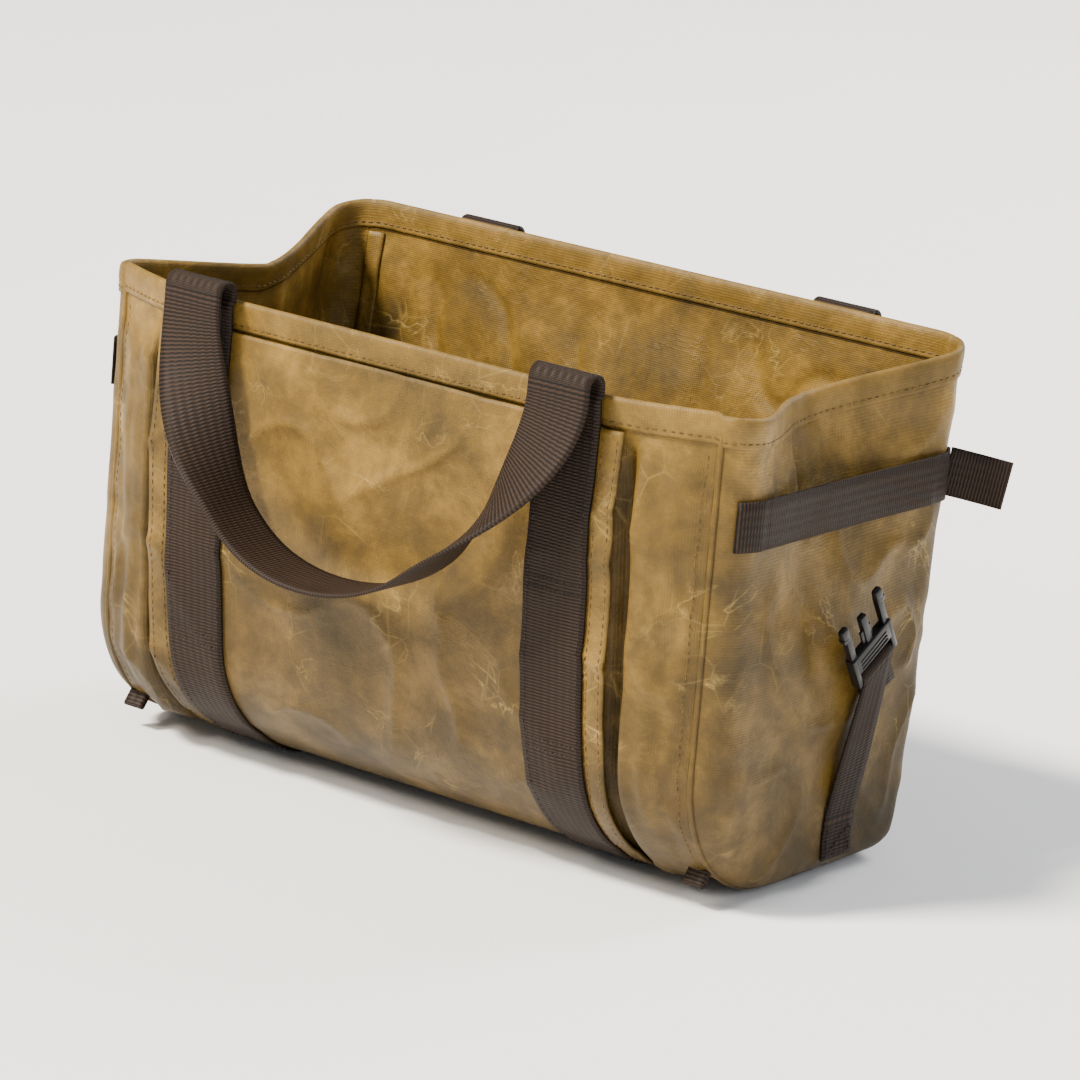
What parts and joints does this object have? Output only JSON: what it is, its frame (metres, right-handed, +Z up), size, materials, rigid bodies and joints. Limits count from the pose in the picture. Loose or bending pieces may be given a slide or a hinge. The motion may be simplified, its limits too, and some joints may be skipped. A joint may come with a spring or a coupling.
{
  "type": "handlebar basket",
  "caption": "Open-topped waxed canvas basket bag with webbing carrying handles, side buckle straps and a rear carrier frame with a slide-on socket for the front of a bicycle.",
  "frame": {"origin": "on the ground under the middle of the bag's box", "axes": "+X along the bag's width, +Z up, -Y the front face, +Y the face towards the bicycle"},
  "size_m": [0.4508, 0.3152, 0.2689],
  "materials": {
    "canvas": "waxed, satin",
    "canvas_binding": "waxed, satin",
    "webbing": "woven, matt",
    "buckle_plastic": "moulded, semi-gloss",
    "socket_plastic": "moulded, matt",
    "board_plastic": "matt",
    "frame_aluminium": "satin anodised",
    "screw_steel": "zinc plated"
  },
  "bodies": {
    "bag": {"main_panel": "canvas", "side_panel_left": "canvas", "side_panel_right": "canvas", "front_pocket_panel": "canvas", "frame_sleeve": "canvas", "rim_binding": "canvas_binding", "seam_tape_left": "canvas_binding", "seam_tape_right": "canvas_binding", "webbing_run_left": "webbing", "webbing_run_right": "webbing", "side_strap_left": "webbing", "side_strap_right": "webbing", "strap_anchor_left": "webbing", "strap_anchor_right": "webbing", "corner_tab_left": "webbing", "corner_tab_right": "webbing", "base_board": "board_plastic", "carrier_frame": "frame_aluminium", "frame_strut_lower": "frame_aluminium", "frame_strut_upper": "frame_aluminium", "carrier_socket": "socket_plastic", "socket_screws": "screw_steel"},
    "buckle_left": {"buckle_left": "buckle_plastic"},
    "buckle_right": {"buckle_right": "buckle_plastic"},
    "buckle_strap_left": {"buckle_strap_left": "webbing"},
    "buckle_strap_right": {"buckle_strap_right": "webbing"},
    "front_handle": {"front_handle": "webbing"},
    "rear_handle": {"rear_handle": "webbing"},
    "side_strap_tail_left": {"side_strap_tail_left": "webbing"},
    "side_strap_tail_right": {"side_strap_tail_right": "webbing"}
  },
  "joints": [
    {"name": "front_handle_swing", "type": "hinge", "parent": "bag", "child": "front_handle", "pos_m": [0, -0.11951, 0.259], "axis": [-1, 0, 0], "range_deg": [0, 165]},
    {"name": "rear_handle_swing", "type": "hinge", "parent": "bag", "child": "rear_handle", "pos_m": [0, 0.11911, 0.262], "axis": [1, 0, 0], "range_deg": [0, 165]},
    {"name": "buckle_strap_right_bend", "type": "hinge", "parent": "bag", "child": "buckle_strap_right", "pos_m": [0.2046, 0.022, 0.034], "axis": [0, 1, 0], "range_deg": [-2, 75]},
    {"name": "buckle_strap_left_bend", "type": "hinge", "parent": "bag", "child": "buckle_strap_left", "pos_m": [-0.2046, 0.022, 0.034], "axis": [0, -1, 0], "range_deg": [-2, 75]},
    {"name": "buckle_right_turn", "type": "hinge", "parent": "buckle_strap_right", "child": "buckle_right", "pos_m": [0.21629, 0.022, 0.11718], "axis": [0.0857, 0.788, 0.6097], "range_deg": [-8, 60]},
    {"name": "buckle_left_turn", "type": "hinge", "parent": "buckle_strap_left", "child": "buckle_left", "pos_m": [-0.21629, 0.022, 0.11718], "axis": [0.0857, -0.788, -0.6097], "range_deg": [-8, 60]},
    {"name": "side_strap_tail_right_flap", "type": "hinge", "parent": "bag", "child": "side_strap_tail_right", "pos_m": [0.19901, 0.10185, 0.2], "axis": [0, 0, 1], "range_deg": [-25, 35]},
    {"name": "side_strap_tail_left_flap", "type": "hinge", "parent": "bag", "child": "side_strap_tail_left", "pos_m": [-0.19901, 0.10185, 0.2], "axis": [0, 0, -1], "range_deg": [-25, 35]}
  ]
}
